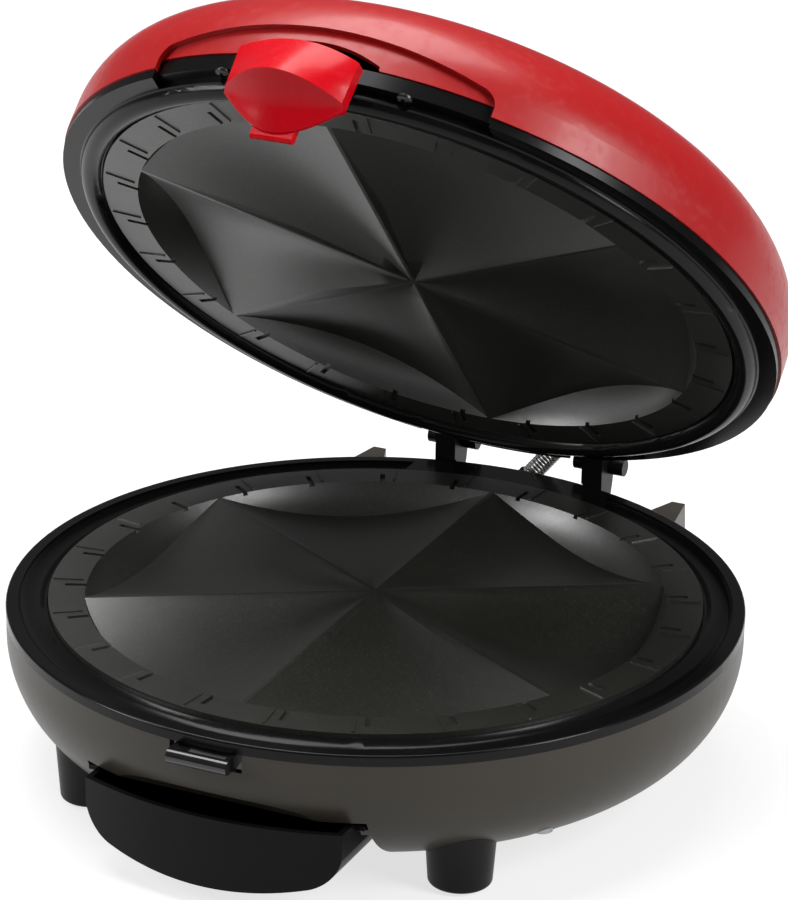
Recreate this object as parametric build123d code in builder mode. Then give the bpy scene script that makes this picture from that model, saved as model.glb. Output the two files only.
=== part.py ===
"""A countertop maker for six filled wedges: round base, domed lid on a rear hinge, front latch, drip tray.

Millimetres, Z up, front towards -Y. The origin is on the counter, under the middle of the plates.
The lid's pieces are drawn shut, over the base, and are then swung open about the hinge.
"""

from build123d import *
from math import acos, atan, cos, degrees, pi, radians, sin, sqrt
import os

# Plates
land_z = 54.0            # cooking face of the lower plate above the counter
closed_gap = 3.0         # between the two plates' faces with the lid shut
plate_r = 103.0
plate_edge_t = 3.5
pocket_count = 6
pocket_r = 91.5          # outer edge of the pockets
pocket_depth = 9.8       # at the outer end of a pocket's valley
pocket_floor_r = 84.0    # where the valley meets its outer wall
pocket_wall_t = 2.8      # metal under a valley
ridge_w = 1.2            # flat left between two pockets
mark_count = 24          # scored marks round the plate's rim
mark_groove_l = 7.5
mark_rib_h = 0.4
fit_gap = 0.3            # between pieces that sit in one another
edge_gap = 0.4           # round a plate's edge

# Base bowl and top ring
base_r = 116.2
base_wall = 2.5
base_floor_z = 8.5
bowl_arc = 35.5          # radius of the bowl's flank
rim_z = 50.0             # top edge of the bowl
ring_r = 116.3
ring_top_z = 53.4
ring_land_w = 4.0        # flat outer band of the top ring
ring_lip_w = 0.8         # inner lip beside the plate
channel_z = 50.4         # bottom of the overflow channel
ledge_w = 6.0            # shelf that carries a plate's edge
ledge_t = 2.5
spigot_t = 2.3
spigot_z = 44.0
rear_deck_half = 35.5    # half width of the flat at the hinge, where the channel stops

# Feet
foot_x = 62.6
foot_y = 72.5
foot_r = 9.7
foot_taper = 1.6         # growth of the foot's radius on the way up
foot_pad_r = 6.5
foot_pad_h = 2.4
foot_lift = 1.0          # the pad stands this far below the foot
foot_peg_r = 4.0
foot_peg_l = 20.0
foot_crown_z = 24.0      # the foot is drawn this high, then cut to the bowl

# Drip tray and its bay
tray_half = 42.3
tray_front_r = 119.6
tray_face_half = 42.3
tray_wall = 1.9
tray_floor_z = 6.5
tray_face_top_z = 29.2
tray_back_y = -52.0
tray_belly = 4.3         # the tray's underside is this much higher near its sides
tray_turn = 33.0         # where the underside turns up into the sides
tray_side_z = 21.0
flange_w = 3.3
flange_t = 1.5
flange_setback = 8.0     # the flanges start this far behind the face's corners
bay_ceiling_z = 30.2
bay_gap = 0.6
bay_wall = 2.0
bay_back_gap = 3.0
scoop_r = 14.6           # the finger scoop above the tray is part of a cylinder across the front
scoop_y = 120.5
scoop_z = 21.7
scoop_half = 46.0
rail_w = 2.4
rail_t = 2.2

# Hinge
hinge_y = 118.5
hinge_z = 74.0
open_angle = 47.0        # how far the lid stands open
post_x = 27.1            # middle of each post
post_w = 7.4
post_head_r = 5.4
post_foot_z = 38.0
post_round_z = 57.0      # the post's back curves in below here
stop_boss_r = 2.9
stop_boss_l = 18.0
stop_boss_z = 58.8
pin_r = 2.4
pin_run = 0.05           # radial running clearance
pin_head_r = 4.2
pin_head_t = 1.6
pin_in_barrel = 9.0
barrel_r = 6.3
hinge_side_gap = 0.4
saddle_top_z = 47.0      # block between the posts
saddle_y = 122.6
saddle_screw_x = 15.0
saddle_screw_z = 41.4
saddle_screw_r = 1.3
saddle_screw_l = 6.0
saddle_screw_head_r = 2.5
saddle_screw_head_h = 1.8
bowl_mid_y = 104.0       # the screws' holes are drilled from inside, from here

# Rear wings that the cord winds round
wing_in_x = 45.0
wing_out_x = 63.0
wing_tip_x = 55.0
wing_tip_w = 4.0
wing_tip_y = 122.0
wing_low_z = 34.0
wing_top_z = 49.7

# Catch on the base
bar_r = 2.2
bar_half = 9.8
bar_y = 120.0
bar_z = 47.3
cheek_t = 1.6
apron_half = 11.5
apron_r = 114.9
apron_t = 1.4            # the ring's spigot passes behind the apron
apron_z = 44.3

# Lid bezel
bezel_r = 116.8
bezel_top = 4.0          # above the upper plate's face
bezel_flange = 1.0
bead_r = 107.3
bead_half_w = 3.4
bead_drop = 2.4
upstand_r = 114.8
upstand_t = 2.2
upstand_h = 8.0
shelf_z = 3.8            # shelf over the upper plate's edge
notch_half = 54.0        # half width of the front recess
notch_cut = 3.2
rear_wall_y = 109.6      # wall that carries the hinge barrel
rear_wall_half = 33.5
rear_wall_h = 20.0
web_z = 12.0
web_h = 10.0
post_slot_y = 111.5      # the flange is cut away from here back, round each post

# Lid shell
shell_r = 117.5
shell_wall = 2.5
shell_flank = 12.0       # height at which the shoulder starts
shoulder_r = 28.0
crown_r = 240.0
brow_top = 18.1          # top of the front recess
brow_fall = 6.0          # how much lower the brow's two ends are
brow_corner = 5.0
brow_depth = 2.2
hinge_slot_top = 25.5
hinge_slot_half = 31.9

# Latch
latch_half = 19.1
latch_tail_half = 17.5   # its sides draw in towards the back
latch_top = 9.0          # crown of the arched top edge
latch_top_y = 124.0
latch_top_side_z = 4.0
latch_top_side_y = 121.7
latch_ridge_y = 132.5
latch_ridge_z = -5.9
latch_side_y = 124.8     # the ridge's two ends
latch_side_z = -9.9
latch_chin_y = 121.0
latch_chin_z = -20.6     # lowest point of the rounded chin
latch_chin_side_z = -10.9
latch_sweep = 4.2        # how far the lower face falls back at its sides
hollow_depth = 1.6       # finger hollow in the lower face
hollow_l = 15.0
latch_neck_y = 117.0
latch_neck_z = 0.0
latch_back_y = 118.3
latch_wall = 2.2
hook_z = -12.2           # top of the lip that hooks under the bar
hook_t = 3.5
hook_half = 6.6          # tab below the lip
hook_tab_z = -20.2
latch_axis_y = 117.8
latch_axis_z = 1.5
lug_x = 12.0
lug_w = 2.8
lug_r = 2.2
lug_root_y = 110.0
rib_x = 15.0             # the latch's own ribs, outside the lugs
rib_w = 2.0
rib_r = 1.8
latch_pin_r = 1.2
latch_pin_half = 16.6
opening_half = 20.2      # arched opening in the lid's recess, above the latch
opening_top = 14.2
opening_side_z = 9.6

# Heating and wiring
element_orbit = 62.0
element_r = 3.3
element_gap = 42.0       # degrees left open between the element's two ends, at the back
element_under = 0.5      # between the element and the plate above it
lead_r = 2.4
lead_l = 9.5
pan_t = 0.8
pan_floor_z = 34.2       # underside of the heat shield
pan_floor_r = 83.5
pan_wall_r = 89.0
pan_wall_z = 41.0
pan_rim_r = 95.6
pan_rim_z = 50.0
pan_vent_r = 9.0
stat_r = 8.0
stat_h = 6.5
fuse_r = 2.2
fuse_l = 24.0
fuse_y = 34.0
block_size = (34.0, 14.0, 11.0)
block_y = 66.0

# Cord bush
bush_z = 25.0
bush_r = 6.5
bush_bore_r = 3.5
bush_y = 115.4           # outer face of the boss round the bush
bush_boss_l = 9.0
bush_l = 12.0
bush_collar_r = 8.5
bush_collar_t = 1.8

# Wire guard between base and lid
coil_r = 3.0
coil_wire_r = 0.42
coil_pitch = 1.32
coil_low = (1.4, 120.4, 49.9)
coil_high = (13.3, 120.4, 64.6)
socket_r = 4.1
socket_l = 6.0

# Screws
ring_screw_orbit = 100.5
ring_screw_angles = (-35.0, 65.0, 115.0, 215.0)
column_r = 4.3
boss_r = 6.0
boss_top_z = 26.0
screw_seat_z = 18.0
screw_r = 1.8
screw_head_r = 3.4
screw_head_h = 2.4
screw_l = 19.0
plate_screw_angles = (15.0, 105.0, 195.0, 285.0)
plate_screw_r = 1.5
plate_screw_head_r = 2.8
plate_screw_head_h = 1.8
plate_tap_l = 2.5        # depth of the blind holes in a plate's edge
bezel_screw_orbit = 113.2
bezel_screw_x = 29.0
bezel_screw_rear_x = 50.0
bezel_screw_r = 1.3
bezel_screw_head_r = 2.5
bezel_screw_head_h = 1.5
bezel_screw_l = 12.0
shell_boss_r = 3.8
shell_boss_l = 10.0

# Indicator lenses on the lid
lens_r = 3.5
lens_x = 9.0
lens_y = -58.0
lens_proud = 1.2
lens_l = 5.0             # how far a lens reaches below the crown
lamp_box = (34.0, 12.0, 9.0)

# What follows from the sizes above
lid_z = land_z + closed_gap
hinge = Axis((0, hinge_y, hinge_z), (1, 0, 0))
ledge_z = land_z - plate_edge_t - fit_gap
plate_seat_r = plate_r + edge_gap
ledge_r = plate_seat_r - ledge_w
plate_screw_orbit = ledge_r + ledge_w / 2
valley_angle = degrees(atan(pocket_depth / pocket_floor_r))
valley = radians(valley_angle)
axis_tilt = degrees(atan((cos(valley) - cos(pi / pocket_count)) / sin(valley)))
cone_angle = axis_tilt + valley_angle
base_mid_r = base_r - bowl_arc
between_plates = Plane.XY.offset((land_z + lid_z) / 2)
bezel_screw_places = [
    (x, sy * sqrt(bezel_screw_orbit**2 - x**2))
    for sy, at_x in ((-1, bezel_screw_x), (1, bezel_screw_rear_x))
    for x in (-at_x, at_x)
]
bay_half = tray_half + flange_w + bay_gap
upright = (Align.CENTER, Align.CENTER, Align.MIN)
hanging = (Align.CENTER, Align.CENTER, Align.MAX)
os.makedirs("parts", exist_ok=True)


def save(piece, name, on_lid=False):
    """Label a finished piece, swing it open if it belongs to the lid, and write its file."""
    part = piece.part.rotate(hinge, -open_angle) if on_lid else piece.part
    part.label = name
    export_step(part, f"parts/{name}.step")


def ring_places(radius, angles):
    """Points at the given angles on a circle round the plates' middle."""
    return [(radius * cos(radians(a)), radius * sin(radians(a))) for a in angles]


def bowl(inset=0.0):
    """The base's outer form, or the same form drawn in by inset, as a revolved solid."""
    with BuildPart(mode=Mode.PRIVATE) as form:
        with BuildSketch(Plane.XZ) as section:
            with BuildLine():
                flank = CenterArc((base_mid_r, base_floor_z + bowl_arc), bowl_arc - inset, -90, 90)
                Polyline(flank @ 1, (base_r - inset, rim_z), (0, rim_z), (0, base_floor_z + inset), flank @ 0)
            make_face()
        revolve(axis=Axis.Z)
    return form.part


def dome(inset=0.0):
    """The lid shell's outer form above its rim, or that form drawn in, as a revolved solid."""
    shoulder_mid = shell_r - shoulder_r
    rise = sqrt((crown_r - shoulder_r) ** 2 - shoulder_mid**2)
    turn = degrees(acos(shoulder_mid / (crown_r - shoulder_r)))
    with BuildPart(mode=Mode.PRIVATE) as form:
        with BuildSketch(Plane.XZ) as section:
            with BuildLine():
                shoulder = CenterArc((shoulder_mid, lid_z + shell_flank), shoulder_r - inset, 0, turn)
                crown = CenterArc((0, lid_z + shell_flank - rise), crown_r - inset, turn, 90 - turn)
                rim = (shell_r - inset, lid_z + bezel_top)
                Polyline(crown @ 1, (0, lid_z + bezel_top), rim, shoulder @ 0)
            make_face()
        revolve(axis=Axis.Z)
    return form.part


# The plates: cast discs with six half-cone pockets, drawn face up at height zero
with BuildPart(mode=Mode.PRIVATE) as pocket:
    cone_l = 1.25 * pocket_r
    cone_axis = Axis((ridge_w, 0, 0), (cos(radians(axis_tilt)), 0, sin(radians(axis_tilt))))
    cone_plane = Plane(origin=cone_axis.position, x_dir=cone_axis.direction, z_dir=(0, -1, 0))
    with BuildSketch(cone_plane) as half_cone:
        with BuildLine():
            reach = cone_l * cos(radians(cone_angle))
            spread = cone_l * sin(radians(cone_angle))
            Polyline((0, 0), (reach, 0), (reach, spread), close=True)
        make_face()
    revolve(axis=cone_axis)
    with BuildSketch(Plane.XZ) as reach_limit:
        with BuildLine():
            low = -1.15 * pocket_depth
            wall = ThreePointArc(
                (pocket_r, 0), (pocket_r - 2.1, -0.42 * pocket_depth), (pocket_floor_r - 2.0, low)
            )
            Polyline(wall @ 1, (0, low), (0, pocket_depth), (pocket_r, pocket_depth), wall @ 0)
        make_face()
    revolve(axis=Axis.Z, mode=Mode.INTERSECT)

with BuildPart(mode=Mode.PRIVATE) as plate:
    with BuildSketch(Plane.XZ) as plate_section:
        with BuildLine():
            Polyline(
                (0, 0),
                (plate_r, 0),
                (plate_r, -plate_edge_t),
                (pocket_r + 2.5, -plate_edge_t),
                (pocket_floor_r + 4.0, -pocket_depth - pocket_wall_t),
                (pocket_floor_r, -pocket_depth - pocket_wall_t),
                (0, -pocket_wall_t),
                close=True,
            )
        make_face()
    revolve(axis=Axis.Z)
    with PolarLocations(0, pocket_count):
        add(pocket.part, mode=Mode.SUBTRACT)
    mark_step = 360 / mark_count
    rib_l = plate_r - pocket_r - 2.0
    with PolarLocations(pocket_r + mark_groove_l / 2 - 0.8, mark_count, start_angle=mark_step / 2 + 1.4):
        Box(mark_groove_l, 1.7, 2.0, mode=Mode.SUBTRACT)
    with PolarLocations(pocket_r + 1.2 + rib_l / 2, mark_count, start_angle=mark_step / 2 - 1.0):
        Box(rib_l, 0.7, 2 * mark_rib_h)

with BuildPart() as lower_plate:
    add(plate.part.moved(Location((0, 0, land_z))))
    with BuildSketch(Plane.XY.offset(land_z - plate_edge_t)) as lower_taps:
        with Locations(*ring_places(plate_screw_orbit, plate_screw_angles)):
            Circle(plate_screw_r)
    extrude(amount=plate_tap_l, mode=Mode.SUBTRACT)
save(lower_plate, "lower_plate")

with BuildPart() as upper_plate:
    add(plate.part.moved(Location((0, 0, lid_z), (180, 0, 0))))
    with BuildSketch(Plane.XY.offset(lid_z + plate_edge_t)) as upper_taps:
        with Locations(*ring_places(plate_screw_orbit, plate_screw_angles)):
            Circle(plate_screw_r)
    extrude(amount=-plate_tap_l, mode=Mode.SUBTRACT)
save(upper_plate, "upper_plate", on_lid=True)

# Top ring of the base: overflow channel, shelf under the plate, locating spigot and screw columns
with BuildPart() as deck_ring:
    with BuildSketch(Plane.XZ) as ring_section:
        with BuildLine():
            ring_in_r = ring_r - ring_land_w
            channel = ThreePointArc(
                (ring_in_r, ring_top_z - 0.9),
                ((ring_in_r + plate_seat_r + ring_lip_w) / 2, channel_z),
                (plate_seat_r + ring_lip_w, ring_top_z - 1.0),
            )
            Polyline(
                channel @ 1,
                (plate_seat_r, ring_top_z - 1.0),
                (plate_seat_r, ledge_z),
                (ledge_r, ledge_z),
                (ledge_r, ledge_z - ledge_t),
                (base_r - base_wall - fit_gap - spigot_t, ledge_z - ledge_t),
                (base_r - base_wall - fit_gap - spigot_t, spigot_z),
                (base_r - base_wall - fit_gap, spigot_z),
                (base_r - base_wall - fit_gap, rim_z),
                (ring_r, rim_z),
                (ring_r, ring_top_z),
                (ring_in_r, ring_top_z),
                channel @ 0,
            )
        make_face()
    revolve(axis=Axis.Z)
    with BuildSketch(Plane.XY.offset(rim_z)) as rear_deck:
        Circle(ring_r)
        Circle(plate_seat_r, mode=Mode.SUBTRACT)
        with Locations((0, ring_r)):
            Rectangle(2 * rear_deck_half, 2 * (ring_r - plate_seat_r) + 12, mode=Mode.INTERSECT)
    extrude(amount=ring_top_z - rim_z)
    with BuildSketch(Plane.XY.offset(boss_top_z + fit_gap)) as columns:
        with Locations(*ring_places(ring_screw_orbit, ring_screw_angles)):
            Circle(column_r)
    extrude(amount=ledge_z - ledge_t / 2 - boss_top_z - fit_gap)
    with BuildSketch(Plane.XY.offset(boss_top_z + fit_gap)) as column_holes:
        with Locations(*ring_places(ring_screw_orbit, ring_screw_angles)):
            Circle(screw_r)
    extrude(amount=screw_seat_z + screw_l - boss_top_z, mode=Mode.SUBTRACT)
    with BuildSketch(Plane.XY.offset(ledge_z - ledge_t)) as plate_screw_holes:
        with Locations(*ring_places(plate_screw_orbit, plate_screw_angles)):
            Circle(plate_screw_r)
    extrude(amount=ledge_t, mode=Mode.SUBTRACT)
    outer_edges = deck_ring.edges().filter_by(GeomType.CIRCLE).filter_by(
        lambda edge: abs(edge.radius - ring_r) < 0.01 and abs(edge.center().Z - ring_top_z) < 0.01
    )
    fillet(outer_edges, 0.8)
save(deck_ring, "deck_ring")

# The base bowl: flank, floor, tray bay, screw bosses and the rear wings
with BuildPart(mode=Mode.PRIVATE) as bay_cut:
    with BuildSketch(Plane.YZ.offset(-bay_half)) as bay_side:
        Polygon(
            (-base_r - 10, -1),
            (-base_r - 10, bay_ceiling_z),
            (tray_back_y + bay_back_gap, bay_ceiling_z),
            (tray_back_y + bay_back_gap, -1),
            align=None,
        )
    extrude(amount=2 * bay_half)
    with Locations(Location((0, -scoop_y, scoop_z), (0, 90, 0))):
        Cylinder(scoop_r, 2 * scoop_half)
with BuildPart(mode=Mode.PRIVATE) as bay_box:
    with BuildSketch(Plane.YZ.offset(-bay_half - bay_wall)) as bay_box_side:
        Polygon(
            (-base_r - 5, base_floor_z),
            (-base_r - 5, bay_ceiling_z + bay_wall),
            (tray_back_y + bay_back_gap + bay_wall, bay_ceiling_z + bay_wall),
            (tray_back_y + bay_back_gap + bay_wall, base_floor_z),
            align=None,
        )
    extrude(amount=2 * (bay_half + bay_wall))
    with Locations(Location((0, -scoop_y, scoop_z), (0, 90, 0))):
        Cylinder(scoop_r + bay_wall, 2 * (scoop_half + bay_wall))
    add(bowl(), mode=Mode.INTERSECT)

with BuildPart(mode=Mode.PRIVATE) as rails:
    with BuildSketch(Plane.XZ.offset(base_r)) as rail_ends:
        with Locations((0, tray_face_top_z - flange_t - fit_gap - rail_t / 2)):
            Rectangle(2 * bay_half + bay_wall, rail_t)
            Rectangle(2 * (bay_half - rail_w), rail_t, mode=Mode.SUBTRACT)
    extrude(amount=-(base_r + tray_back_y + bay_back_gap + bay_wall / 2))
    add(bowl(), mode=Mode.INTERSECT)

foot_places = [(sx * foot_x, sy * foot_y) for sx in (-1, 1) for sy in (-1, 1)]
with BuildPart() as base_housing:
    add(bowl())
    add(bowl(base_wall), mode=Mode.SUBTRACT)
    with BuildPart(mode=Mode.PRIVATE) as bosses:
        with BuildSketch(Plane.XY.offset(base_floor_z)) as boss_section:
            with Locations(*ring_places(ring_screw_orbit, ring_screw_angles)):
                Circle(boss_r)
            with Locations(*foot_places):
                Circle(foot_peg_r + 2.5)
        extrude(amount=boss_top_z - base_floor_z)
        add(bowl(), mode=Mode.INTERSECT)
    add(bosses.part)
    add(bay_box.part)
    add(bay_cut.part, mode=Mode.SUBTRACT)
    add(rails.part)
    with BuildSketch(Plane.XY.offset(base_floor_z - 1)) as head_wells:
        with Locations(*ring_places(ring_screw_orbit, ring_screw_angles)):
            Circle(screw_head_r + 0.4)
    extrude(amount=screw_seat_z - base_floor_z + 1, mode=Mode.SUBTRACT)
    with BuildSketch(Plane.XY.offset(screw_seat_z)) as screw_holes:
        with Locations(*ring_places(ring_screw_orbit, ring_screw_angles)):
            Circle(screw_r + 0.2)
    extrude(amount=boss_top_z - screw_seat_z + 1, mode=Mode.SUBTRACT)
    with BuildSketch(Plane.XZ.offset(-saddle_y)) as saddle_holes:
        with Locations((-saddle_screw_x, saddle_screw_z), (saddle_screw_x, saddle_screw_z)):
            Circle(saddle_screw_r + 0.2)
    extrude(amount=saddle_y - bowl_mid_y, mode=Mode.SUBTRACT)
    with BuildSketch(Plane.XY) as peg_holes:
        with Locations(*foot_places):
            Circle(foot_peg_r + 0.1)
    extrude(amount=boss_top_z + 1, mode=Mode.SUBTRACT)
    with BuildPart(mode=Mode.PRIVATE) as wings:
        with BuildSketch(Plane.XY.offset(wing_low_z)) as wing_plan:
            Polygon(
                (wing_in_x, 100.0),
                (wing_out_x, 92.0),
                (wing_tip_x + wing_tip_w / 2 + 1.5, wing_tip_y),
                (wing_tip_x - wing_tip_w / 2, wing_tip_y),
                align=None,
            )
            mirror(about=Plane.YZ)
        extrude(amount=wing_top_z - wing_low_z, taper=2)
        add(bowl(0.5), mode=Mode.SUBTRACT)
    add(wings.part)
    with BuildSketch(Plane.XY.offset(apron_z - fit_gap)) as catch_notch:
        with Locations((0, -base_r)):
            Rectangle(2 * (apron_half + fit_gap), 20)
    extrude(amount=rim_z, mode=Mode.SUBTRACT)
    with BuildSketch(Plane.XZ.offset(-bush_y)) as bush_boss:
        with Locations((0, bush_z)):
            Circle(bush_collar_r + 1.0)
    extrude(amount=bush_boss_l)
    with BuildSketch(Plane.XZ.offset(-bush_y)) as bush_hole:
        with Locations((0, bush_z)):
            Circle(bush_r + 0.1)
    extrude(amount=bush_l + 1.0, mode=Mode.SUBTRACT)
save(base_housing, "base_housing")

# Four tapered feet, each with a peg up through the bowl and a rubber pad underneath
with BuildPart(mode=Mode.PRIVATE) as foot:
    with BuildSketch(Plane.XY.offset(foot_lift)) as foot_sole:
        Circle(foot_r)
    with BuildSketch(Plane.XY.offset(foot_crown_z)) as foot_crown:
        Circle(foot_r + foot_taper)
    loft()
    fillet(foot.edges().sort_by(Axis.Z)[0], 1.2)
for front, sy in (("front", -1), ("rear", 1)):
    for hand, sx in (("left", -1), ("right", 1)):
        with BuildPart() as placed_foot:
            add(foot.part.moved(Location((sx * foot_x, sy * foot_y, 0))))
            with BuildPart(mode=Mode.PRIVATE) as bowl_skin:
                add(bowl(-0.05))
            add(bowl_skin.part, mode=Mode.SUBTRACT)
            with Locations((sx * foot_x, sy * foot_y, 0)):
                Cylinder(foot_peg_r, foot_peg_l, align=upright)
                Cylinder(foot_pad_r + 0.1, foot_pad_h, align=upright, mode=Mode.SUBTRACT)
        save(placed_foot, f"foot_{front}_{hand}")

with BuildPart() as foot_pads:
    with BuildSketch() as pad_circles:
        with Locations(*foot_places):
            Circle(foot_pad_r)
    extrude(amount=foot_pad_h)
save(foot_pads, "foot_pads")

# Screws up through the bowl's bosses into the ring's columns
with BuildPart() as ring_screws:
    with BuildSketch(Plane.XY.offset(screw_seat_z)) as screw_shanks:
        with Locations(*ring_places(ring_screw_orbit, ring_screw_angles)):
            Circle(screw_r - 0.02)
    extrude(amount=screw_l)
    with BuildSketch(Plane.XY.offset(screw_seat_z - screw_head_h)) as screw_heads:
        with Locations(*ring_places(ring_screw_orbit, ring_screw_angles)):
            Circle(screw_head_r)
    extrude(amount=screw_head_h)
save(ring_screws, "ring_screws")

with BuildPart() as lower_plate_screws:
    with BuildSketch(Plane.XY.offset(ledge_z - ledge_t)) as lower_shanks:
        with Locations(*ring_places(plate_screw_orbit, plate_screw_angles)):
            Circle(plate_screw_r - 0.02)
    extrude(amount=ledge_t + fit_gap + plate_edge_t - 1.1)
    with BuildSketch(Plane.XY.offset(ledge_z - ledge_t - plate_screw_head_h)) as lower_heads:
        with Locations(*ring_places(plate_screw_orbit, plate_screw_angles)):
            Circle(plate_screw_head_r)
    extrude(amount=plate_screw_head_h)
save(lower_plate_screws, "lower_plate_screws")

# The catch: a round bar between two cheeks on an apron let into the bowl's front
with BuildPart() as latch_catch:
    with BuildSketch(Plane.XY.offset(apron_z)) as apron_plan:
        Circle(apron_r)
        Circle(apron_r - apron_t, mode=Mode.SUBTRACT)
        with Locations((0, -base_r)):
            Rectangle(2 * apron_half, 24, mode=Mode.INTERSECT)
    extrude(amount=rim_z - fit_gap - apron_z)
    for side in (-1, 1):
        with BuildSketch(Plane.YZ.offset(side * (bar_half - cheek_t / 2) - cheek_t / 2)) as cheek:
            with Locations((-bar_y, bar_z)):
                Circle(bar_r)
            with Locations((-(bar_y + apron_r - apron_t) / 2, bar_z)):
                Rectangle(bar_y - apron_r + apron_t, 2 * bar_r)
        extrude(amount=cheek_t)
    with Locations(Location((0, -bar_y, bar_z), (0, 90, 0))):
        Cylinder(bar_r, 2 * bar_half)
save(latch_catch, "latch_catch")

# Drip tray: curved face, rounded basin and the two flanges that hang it on the bay's rails
def tray_outline(inset):
    """The tray seen from the front, drawn in by inset, as a long solid with rounded lower corners."""
    half = tray_half + flange_w + 1 - inset
    low = tray_floor_z + inset
    with BuildPart(mode=Mode.PRIVATE) as form:
        with BuildSketch(Plane.XZ.offset(tray_front_r + 1)) as front:
            with BuildLine():
                belly = ThreePointArc((-tray_turn, low + tray_belly), (0, low), (tray_turn, low + tray_belly))
                side, turn_z = tray_half - inset, low + 2.0 * tray_belly
                right = ThreePointArc(belly @ 1, (side - 2.8, turn_z), (side, tray_side_z))
                left = ThreePointArc((-side, tray_side_z), (-side + 2.8, turn_z), belly @ 0)
                Polyline(
                    right @ 1,
                    (half, tray_side_z + 2),
                    (half, rim_z),
                    (-half, rim_z),
                    (-half, tray_side_z + 2),
                    left @ 0,
                )
            make_face()
        extrude(amount=-tray_front_r)
    return form.part


with BuildPart(mode=Mode.PRIVATE) as tray_room:
    with BuildSketch(Plane.XY.offset(tray_floor_z + tray_wall)) as room_plan:
        Circle(tray_front_r - tray_wall)
        room_l = tray_front_r + tray_back_y - tray_wall
        with Locations((0, room_l / 2 - tray_front_r)):
            Rectangle(2 * (tray_half - tray_wall), room_l, mode=Mode.INTERSECT)
    extrude(amount=rim_z)
    add(tray_outline(tray_wall), mode=Mode.INTERSECT)

with BuildPart() as drip_tray:
    with BuildSketch(Plane.XY.offset(tray_floor_z)) as face_plan:
        Circle(tray_front_r)
        Circle(tray_front_r - tray_wall, mode=Mode.SUBTRACT)
        with Locations((0, -tray_front_r)):
            Rectangle(2 * tray_face_half, 40, mode=Mode.INTERSECT)
    extrude(amount=tray_face_top_z - tray_floor_z)
    with BuildSketch(Plane.XY.offset(tray_floor_z)) as basin_plan:
        Circle(tray_front_r - tray_wall / 2)
        with Locations((0, (tray_back_y - tray_front_r) / 2)):
            Rectangle(2 * tray_half, tray_front_r + tray_back_y, mode=Mode.INTERSECT)
    extrude(amount=tray_face_top_z - tray_floor_z)
    flange_front_y = -sqrt(tray_front_r**2 - tray_half**2) + flange_setback
    with BuildSketch(Plane.XY.offset(tray_face_top_z - flange_t)) as flange_plan:
        with Locations((0, (tray_back_y + flange_front_y) / 2)):
            Rectangle(2 * (tray_half + flange_w), tray_back_y - flange_front_y)
    extrude(amount=flange_t)
    add(tray_room.part, mode=Mode.SUBTRACT)
    add(tray_outline(0), mode=Mode.INTERSECT)
save(drip_tray, "drip_tray")

# Hinge saddle: two posts with stop bosses, on a block behind the ring, and the wire guard's socket
coil_axis_end = Vector(coil_high)
coil_axis = Axis(coil_low, coil_axis_end - Vector(coil_low))
with BuildPart() as hinge_saddle:
    for side in (-1, 1):
        with BuildSketch(Plane.YZ.offset(side * post_x - post_w / 2)) as post_side:
            with BuildLine():
                head = CenterArc((hinge_y, hinge_z), post_head_r, 0, 180)
                back = ThreePointArc(
                    (hinge_y + post_head_r, post_round_z),
                    (hinge_y + post_head_r - 2.4, post_round_z - 10.0),
                    (hinge_y - post_head_r + 1.0, post_foot_z),
                )
                Line(head @ 0, back @ 0)
                Polyline(back @ 1, (hinge_y - post_head_r, post_foot_z), head @ 1)
            make_face()
        extrude(amount=post_w)
    with BuildSketch(Plane.YZ.offset(-rear_deck_half)) as block_side:
        with BuildLine():
            Polyline(
                (hinge_y - 8, post_foot_z),
                (hinge_y - 8, saddle_top_z + 2.7),
                (hinge_y - 2.4, saddle_top_z + 2.7),
                (hinge_y - 2.4, saddle_top_z),
                (saddle_y, saddle_top_z),
                (saddle_y, saddle_top_z - 2.5),
                (hinge_y - 2.0, post_foot_z),
                close=True,
            )
        make_face()
    extrude(amount=2 * rear_deck_half)
    with BuildPart(mode=Mode.PRIVATE) as ring_room:
        Cylinder(ring_r + fit_gap, ring_top_z + fit_gap, align=upright)
    add(ring_room.part, mode=Mode.SUBTRACT)
    for side in (-1, 1):
        stop_y = hinge_y + post_head_r - stop_boss_r
        with Locations(Location((side * post_x, stop_y, stop_boss_z), (0, 90, 0))):
            Cylinder(stop_boss_r, stop_boss_l)
    with Locations(Plane(origin=coil_axis.position, z_dir=coil_axis.direction)):
        Cylinder(socket_r, socket_l, align=hanging)
    with Locations(Location((0, hinge_y, hinge_z), (0, 90, 0))):
        Cylinder(pin_r + pin_run, 4 * post_x, mode=Mode.SUBTRACT)
    with BuildSketch(Plane.XZ.offset(-bowl_mid_y)) as saddle_taps:
        with Locations((-saddle_screw_x, saddle_screw_z), (saddle_screw_x, saddle_screw_z)):
            Circle(saddle_screw_r + 0.02)
    extrude(amount=bowl_mid_y - saddle_y + 1.5, mode=Mode.SUBTRACT)
save(hinge_saddle, "hinge_saddle")

# Headed hinge pins, pushed in from outside through each post into the lid's barrel
with BuildPart() as hinge_pins:
    for side in (-1, 1):
        outer_x = post_x + post_w / 2
        inner_x = post_x - post_w / 2 - pin_in_barrel
        with Locations(Location((side * (outer_x + inner_x) / 2, hinge_y, hinge_z), (0, 90, 0))):
            Cylinder(pin_r, outer_x - inner_x + 0.2)
        with Locations(Location((side * (outer_x + 0.1 + pin_head_t / 2), hinge_y, hinge_z), (0, 90, 0))):
            Cylinder(pin_head_r, pin_head_t)
save(hinge_pins, "hinge_pins")

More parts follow.
